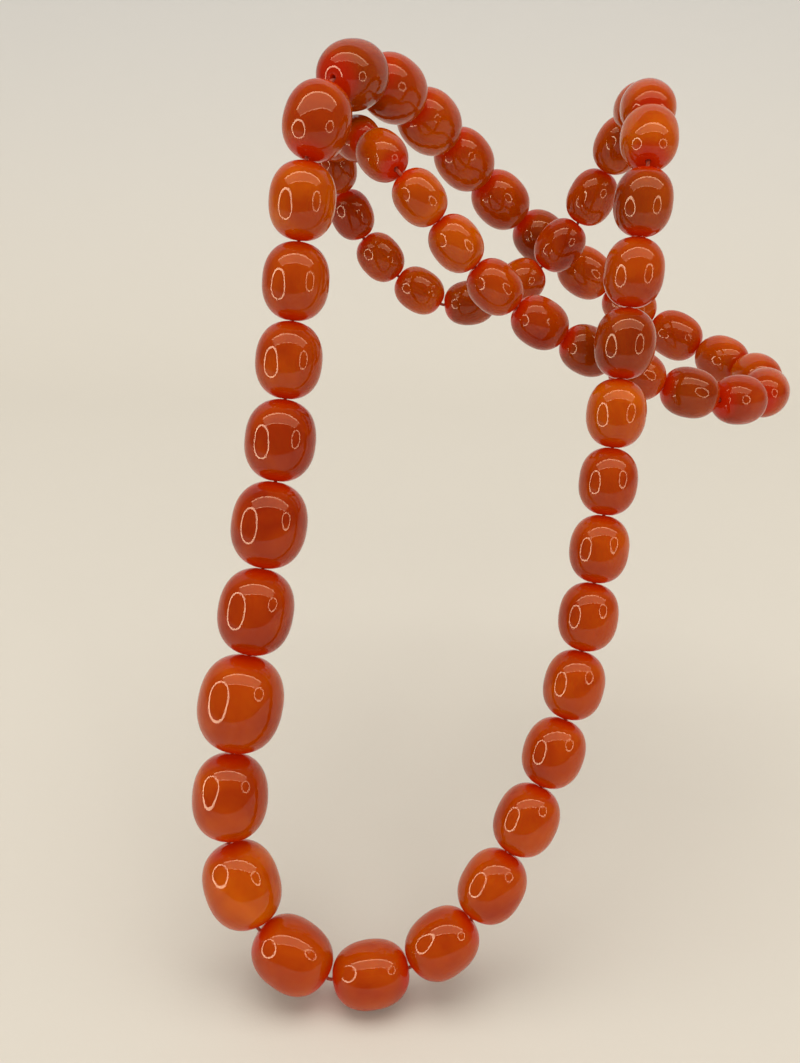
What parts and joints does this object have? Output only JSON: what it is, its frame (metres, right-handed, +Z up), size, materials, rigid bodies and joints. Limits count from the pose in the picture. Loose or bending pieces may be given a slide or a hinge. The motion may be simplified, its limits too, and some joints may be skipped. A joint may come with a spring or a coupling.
{
  "type": "misbaha prayer beads",
  "caption": "Long closed strand of graduated, drilled barrel beads on one knotted cord, draped over a straight edge with its largest beads hanging in front.",
  "frame": {"origin": "on the top front edge of the straight support that the strand is draped over, between the two places where the front loop goes over it", "axes": "+Z up, +X to the right along the support's edge as seen from the front, +Y to the back; the front loop hangs down and forward towards -Y"},
  "size_m": [0.1606, 0.1588, 0.2229],
  "materials": {
    "cord_thread": "waxed twisted thread",
    "amber_bead": "high polish, slightly milky amber orange"
  },
  "bodies": {
    "cord": {"stringing_cord": "cord_thread"},
    "left_bead_29": {"left_bead_29": "amber_bead"},
    "left_bead_28": {"left_bead_28": "amber_bead"},
    "left_bead_27": {"left_bead_27": "amber_bead"},
    "left_bead_26": {"left_bead_26": "amber_bead"},
    "left_bead_25": {"left_bead_25": "amber_bead"},
    "left_bead_24": {"left_bead_24": "amber_bead"},
    "left_bead_23": {"left_bead_23": "amber_bead"},
    "left_bead_22": {"left_bead_22": "amber_bead"},
    "left_bead_21": {"left_bead_21": "amber_bead"},
    "left_bead_20": {"left_bead_20": "amber_bead"},
    "left_bead_19": {"left_bead_19": "amber_bead"},
    "left_bead_18": {"left_bead_18": "amber_bead"},
    "left_bead_17": {"left_bead_17": "amber_bead"},
    "left_bead_16": {"left_bead_16": "amber_bead"},
    "left_bead_15": {"left_bead_15": "amber_bead"},
    "left_bead_14": {"left_bead_14": "amber_bead"},
    "left_bead_13": {"left_bead_13": "amber_bead"},
    "left_bead_12": {"left_bead_12": "amber_bead"},
    "left_bead_11": {"left_bead_11": "amber_bead"},
    "left_bead_10": {"left_bead_10": "amber_bead"},
    "left_bead_09": {"left_bead_09": "amber_bead"},
    "left_bead_08": {"left_bead_08": "amber_bead"},
    "left_bead_07": {"left_bead_07": "amber_bead"},
    "left_bead_06": {"left_bead_06": "amber_bead"},
    "left_bead_05": {"left_bead_05": "amber_bead"},
    "left_bead_04": {"left_bead_04": "amber_bead"},
    "left_bead_03": {"left_bead_03": "amber_bead"},
    "left_bead_02": {"left_bead_02": "amber_bead"},
    "left_bead_01": {"left_bead_01": "amber_bead"},
    "centre_bead": {"centre_bead": "amber_bead"},
    "right_bead_01": {"right_bead_01": "amber_bead"},
    "right_bead_02": {"right_bead_02": "amber_bead"},
    "right_bead_03": {"right_bead_03": "amber_bead"},
    "right_bead_04": {"right_bead_04": "amber_bead"},
    "right_bead_05": {"right_bead_05": "amber_bead"},
    "right_bead_06": {"right_bead_06": "amber_bead"},
    "right_bead_07": {"right_bead_07": "amber_bead"},
    "right_bead_08": {"right_bead_08": "amber_bead"},
    "right_bead_09": {"right_bead_09": "amber_bead"},
    "right_bead_10": {"right_bead_10": "amber_bead"},
    "right_bead_11": {"right_bead_11": "amber_bead"},
    "right_bead_12": {"right_bead_12": "amber_bead"},
    "right_bead_13": {"right_bead_13": "amber_bead"},
    "right_bead_14": {"right_bead_14": "amber_bead"},
    "right_bead_15": {"right_bead_15": "amber_bead"},
    "right_bead_16": {"right_bead_16": "amber_bead"},
    "right_bead_17": {"right_bead_17": "amber_bead"},
    "right_bead_18": {"right_bead_18": "amber_bead"},
    "right_bead_19": {"right_bead_19": "amber_bead"},
    "right_bead_20": {"right_bead_20": "amber_bead"},
    "right_bead_21": {"right_bead_21": "amber_bead"},
    "right_bead_22": {"right_bead_22": "amber_bead"},
    "right_bead_23": {"right_bead_23": "amber_bead"},
    "right_bead_24": {"right_bead_24": "amber_bead"},
    "right_bead_25": {"right_bead_25": "amber_bead"},
    "right_bead_26": {"right_bead_26": "amber_bead"},
    "right_bead_27": {"right_bead_27": "amber_bead"},
    "right_bead_28": {"right_bead_28": "amber_bead"},
    "right_bead_29": {"right_bead_29": "amber_bead"}
  },
  "joints": [
    {"name": "left_bead_29_spin", "type": "hinge", "parent": "cord", "child": "left_bead_29", "pos_m": [-0.02966, 0.01034, 0.00511], "axis": [0.3959, -0.9177, -0.0323], "continuous": true},
    {"name": "left_bead_28_spin", "type": "hinge", "parent": "cord", "child": "left_bead_28", "pos_m": [-0.02265, -0.00143, 0.00157], "axis": [0.5613, -0.6961, -0.4476], "continuous": true},
    {"name": "left_bead_27_spin", "type": "hinge", "parent": "cord", "child": "left_bead_27", "pos_m": [-0.01299, -0.00622, -0.0081], "axis": [0.6468, 0.0867, -0.7578], "continuous": true},
    {"name": "left_bead_26_spin", "type": "hinge", "parent": "cord", "child": "left_bead_26", "pos_m": [-0.00363, -0.00507, -0.01917], "axis": [0.6409, 0.0727, -0.7642], "continuous": true},
    {"name": "left_bead_25_spin", "type": "hinge", "parent": "cord", "child": "left_bead_25", "pos_m": [0.00666, -0.00403, -0.03], "axis": [0.7294, 0.0652, -0.681], "continuous": true},
    {"name": "left_bead_24_spin", "type": "hinge", "parent": "cord", "child": "left_bead_24", "pos_m": [0.01878, -0.00269, -0.03918], "axis": [0.8491, 0.1089, -0.5169], "continuous": true},
    {"name": "left_bead_23_spin", "type": "hinge", "parent": "cord", "child": "left_bead_23", "pos_m": [0.03191, -0.00113, -0.04658], "axis": [0.8836, 0.0971, -0.4581], "continuous": true},
    {"name": "left_bead_22_spin", "type": "hinge", "parent": "cord", "child": "left_bead_22", "pos_m": [0.04566, -0.00001, -0.05296], "axis": [0.9229, 0.0505, -0.3817], "continuous": true},
    {"name": "left_bead_21_spin", "type": "hinge", "parent": "cord", "child": "left_bead_21", "pos_m": [0.06037, 0.00117, -0.05793], "axis": [0.9614, 0.0998, -0.2563], "continuous": true},
    {"name": "left_bead_20_spin", "type": "hinge", "parent": "cord", "child": "left_bead_20", "pos_m": [0.07521, 0.00656, -0.06099], "axis": [0.8297, 0.5464, -0.1143], "continuous": true},
    {"name": "left_bead_19_spin", "type": "hinge", "parent": "cord", "child": "left_bead_19", "pos_m": [0.08564, 0.01912, -0.06178], "axis": [0.3927, 0.9194, 0.0208], "continuous": true},
    {"name": "left_bead_18_spin", "type": "hinge", "parent": "cord", "child": "left_bead_18", "pos_m": [0.08776, 0.03553, -0.06119], "axis": [-0.1433, 0.9885, 0.0482], "continuous": true},
    {"name": "left_bead_17_spin", "type": "hinge", "parent": "cord", "child": "left_bead_17", "pos_m": [0.08106, 0.05081, -0.05933], "axis": [-0.6209, 0.7665, 0.1643], "continuous": true},
    {"name": "left_bead_16_spin", "type": "hinge", "parent": "cord", "child": "left_bead_16", "pos_m": [0.06799, 0.06049, -0.05393], "axis": [-0.8394, 0.3231, 0.437], "continuous": true},
    {"name": "left_bead_15_spin", "type": "hinge", "parent": "cord", "child": "left_bead_15", "pos_m": [0.05327, 0.06417, -0.04528], "axis": [-0.8333, 0.0966, 0.5444], "continuous": true},
    {"name": "left_bead_14_spin", "type": "hinge", "parent": "cord", "child": "left_bead_14", "pos_m": [0.0386, 0.06484, -0.03537], "axis": [-0.82, -0.0195, 0.572], "continuous": true},
    {"name": "left_bead_13_spin", "type": "hinge", "parent": "cord", "child": "left_bead_13", "pos_m": [0.02404, 0.0631, -0.02475], "axis": [-0.7837, -0.1701, 0.5975], "continuous": true},
    {"name": "left_bead_12_spin", "type": "hinge", "parent": "cord", "child": "left_bead_12", "pos_m": [0.01056, 0.05789, -0.01315], "axis": [-0.6608, -0.3856, 0.6439], "continuous": true},
    {"name": "left_bead_11_spin", "type": "hinge", "parent": "cord", "child": "left_bead_11", "pos_m": [-0.00098, 0.04868, -0.00131], "axis": [-0.5523, -0.5796, 0.5992], "continuous": true},
    {"name": "left_bead_10_spin", "type": "hinge", "parent": "cord", "child": "left_bead_10", "pos_m": [-0.01129, 0.03585, 0.00907], "axis": [-0.502, -0.7296, 0.4644], "continuous": true},
    {"name": "left_bead_09_spin", "type": "hinge", "parent": "cord", "child": "left_bead_09", "pos_m": [-0.0209, 0.02064, 0.01724], "axis": [-0.4689, -0.8062, 0.3608], "continuous": true},
    {"name": "left_bead_08_spin", "type": "hinge", "parent": "cord", "child": "left_bead_08", "pos_m": [-0.03017, 0.00331, 0.01998], "axis": [-0.4388, -0.8935, -0.0951], "continuous": true},
    {"name": "left_bead_07_spin", "type": "hinge", "parent": "cord", "child": "left_bead_07", "pos_m": [-0.03769, -0.01115, 0.00949], "axis": [-0.2449, -0.4183, -0.8747], "continuous": true},
    {"name": "left_bead_06_spin", "type": "hinge", "parent": "cord", "child": "left_bead_06", "pos_m": [-0.04097, -0.01655, -0.00846], "axis": [-0.0949, -0.1411, -0.9854], "continuous": true},
    {"name": "left_bead_05_spin", "type": "hinge", "parent": "cord", "child": "left_bead_05", "pos_m": [-0.04256, -0.02009, -0.02701], "axis": [-0.0724, -0.2316, -0.9701], "continuous": true},
    {"name": "left_bead_04_spin", "type": "hinge", "parent": "cord", "child": "left_bead_04", "pos_m": [-0.04406, -0.02499, -0.04533], "axis": [-0.0856, -0.2826, -0.9554], "continuous": true},
    {"name": "left_bead_03_spin", "type": "hinge", "parent": "cord", "child": "left_bead_03", "pos_m": [-0.04589, -0.03107, -0.06397], "axis": [-0.0997, -0.3337, -0.9374], "continuous": true},
    {"name": "left_bead_02_spin", "type": "hinge", "parent": "cord", "child": "left_bead_02", "pos_m": [-0.04821, -0.03825, -0.08354], "axis": [-0.1206, -0.3499, -0.929], "continuous": true},
    {"name": "left_bead_01_spin", "type": "hinge", "parent": "cord", "child": "left_bead_01", "pos_m": [-0.05101, -0.04595, -0.10354], "axis": [-0.139, -0.3627, -0.9215], "continuous": true},
    {"name": "centre_bead_spin", "type": "hinge", "parent": "cord", "child": "centre_bead", "pos_m": [-0.05427, -0.05426, -0.1247], "axis": [-0.1441, -0.3612, -0.9213], "continuous": true},
    {"name": "right_bead_01_spin", "type": "hinge", "parent": "cord", "child": "right_bead_01", "pos_m": [-0.05635, -0.06269, -0.1461], "axis": [-0.0286, -0.3683, -0.9293], "continuous": true},
    {"name": "right_bead_02_spin", "type": "hinge", "parent": "cord", "child": "right_bead_02", "pos_m": [-0.05293, -0.07058, -0.16616], "axis": [0.3364, -0.3416, -0.8776], "continuous": true},
    {"name": "right_bead_03_spin", "type": "hinge", "parent": "cord", "child": "right_bead_03", "pos_m": [-0.0401, -0.07669, -0.18192], "axis": [0.8282, -0.2018, -0.5228], "continuous": true},
    {"name": "right_bead_04_spin", "type": "hinge", "parent": "cord", "child": "right_bead_04", "pos_m": [-0.02064, -0.07799, -0.18604], "axis": [0.9824, 0.0909, 0.163], "continuous": true},
    {"name": "right_bead_05_spin", "type": "hinge", "parent": "cord", "child": "right_bead_05", "pos_m": [-0.00334, -0.07456, -0.17877], "axis": [0.7725, 0.2596, 0.5796], "continuous": true},
    {"name": "right_bead_06_spin", "type": "hinge", "parent": "cord", "child": "right_bead_06", "pos_m": [0.00868, -0.06878, -0.16568], "axis": [0.4897, 0.3483, 0.7993], "continuous": true},
    {"name": "right_bead_07_spin", "type": "hinge", "parent": "cord", "child": "right_bead_07", "pos_m": [0.01679, -0.06213, -0.15077], "axis": [0.3985, 0.3806, 0.8345], "continuous": true},
    {"name": "right_bead_08_spin", "type": "hinge", "parent": "cord", "child": "right_bead_08", "pos_m": [0.02321, -0.05539, -0.13558], "axis": [0.3207, 0.3755, 0.8696], "continuous": true},
    {"name": "right_bead_09_spin", "type": "hinge", "parent": "cord", "child": "right_bead_09", "pos_m": [0.02787, -0.04907, -0.11992], "axis": [0.2091, 0.3446, 0.9152], "continuous": true},
    {"name": "right_bead_10_spin", "type": "hinge", "parent": "cord", "child": "right_bead_10", "pos_m": [0.03095, -0.04325, -0.10401], "axis": [0.148, 0.3303, 0.9322], "continuous": true},
    {"name": "right_bead_11_spin", "type": "hinge", "parent": "cord", "child": "right_bead_11", "pos_m": [0.03316, -0.03773, -0.08814], "axis": [0.1125, 0.3219, 0.9401], "continuous": true},
    {"name": "right_bead_12_spin", "type": "hinge", "parent": "cord", "child": "right_bead_12", "pos_m": [0.03487, -0.0324, -0.07236], "axis": [0.0915, 0.3146, 0.9448], "continuous": true},
    {"name": "right_bead_13_spin", "type": "hinge", "parent": "cord", "child": "right_bead_13", "pos_m": [0.03634, -0.02718, -0.05652], "axis": [0.0844, 0.3085, 0.9475], "continuous": true},
    {"name": "right_bead_14_spin", "type": "hinge", "parent": "cord", "child": "right_bead_14", "pos_m": [0.03784, -0.02196, -0.04036], "axis": [0.0914, 0.3038, 0.9484], "continuous": true},
    {"name": "right_bead_15_spin", "type": "hinge", "parent": "cord", "child": "right_bead_15", "pos_m": [0.03941, -0.0173, -0.02397], "axis": [0.0918, 0.2404, 0.9663], "continuous": true},
    {"name": "right_bead_16_spin", "type": "hinge", "parent": "cord", "child": "right_bead_16", "pos_m": [0.04082, -0.01346, -0.00786], "axis": [0.0781, 0.2218, 0.972], "continuous": true},
    {"name": "right_bead_17_spin", "type": "hinge", "parent": "cord", "child": "right_bead_17", "pos_m": [0.04254, -0.00475, 0.00632], "axis": [0.1166, 0.763, 0.6358], "continuous": true},
    {"name": "right_bead_18_spin", "type": "hinge", "parent": "cord", "child": "right_bead_18", "pos_m": [0.04424, 0.01038, 0.01319], "axis": [0.0792, 0.9846, 0.1558], "continuous": true},
    {"name": "right_bead_19_spin", "type": "hinge", "parent": "cord", "child": "right_bead_19", "pos_m": [0.04507, 0.02693, 0.01289], "axis": [0.019, 0.981, -0.1929], "continuous": true},
    {"name": "right_bead_20_spin", "type": "hinge", "parent": "cord", "child": "right_bead_20", "pos_m": [0.0424, 0.04016, 0.00347], "axis": [-0.3105, 0.4561, -0.834], "continuous": true},
    {"name": "right_bead_21_spin", "type": "hinge", "parent": "cord", "child": "right_bead_21", "pos_m": [0.03632, 0.04446, -0.01108], "axis": [-0.4173, 0.0568, -0.907], "continuous": true},
    {"name": "right_bead_22_spin", "type": "hinge", "parent": "cord", "child": "right_bead_22", "pos_m": [0.02796, 0.04498, -0.02485], "axis": [-0.6137, 0.0071, -0.7895], "continuous": true},
    {"name": "right_bead_23_spin", "type": "hinge", "parent": "cord", "child": "right_bead_23", "pos_m": [0.01656, 0.04449, -0.03603], "axis": [-0.8005, -0.0692, -0.5953], "continuous": true},
    {"name": "right_bead_24_spin", "type": "hinge", "parent": "cord", "child": "right_bead_24", "pos_m": [0.00187, 0.0435, -0.04191], "axis": [-0.9916, -0.0515, -0.1185], "continuous": true},
    {"name": "right_bead_25_spin", "type": "hinge", "parent": "cord", "child": "right_bead_25", "pos_m": [-0.01335, 0.04334, -0.03852], "axis": [-0.8445, 0.0336, 0.5345], "continuous": true},
    {"name": "right_bead_26_spin", "type": "hinge", "parent": "cord", "child": "right_bead_26", "pos_m": [-0.02507, 0.04321, -0.0289], "axis": [-0.6856, -0.0524, 0.7261], "continuous": true},
    {"name": "right_bead_27_spin", "type": "hinge", "parent": "cord", "child": "right_bead_27", "pos_m": [-0.03342, 0.04174, -0.01671], "axis": [-0.4202, -0.1432, 0.8961], "continuous": true},
    {"name": "right_bead_28_spin", "type": "hinge", "parent": "cord", "child": "right_bead_28", "pos_m": [-0.03762, 0.03701, -0.00365], "axis": [-0.1418, -0.4969, 0.8562], "continuous": true},
    {"name": "right_bead_29_spin", "type": "hinge", "parent": "cord", "child": "right_bead_29", "pos_m": [-0.03599, 0.0256, 0.00444], "axis": [0.3508, -0.9258, 0.1407], "continuous": true}
  ]
}
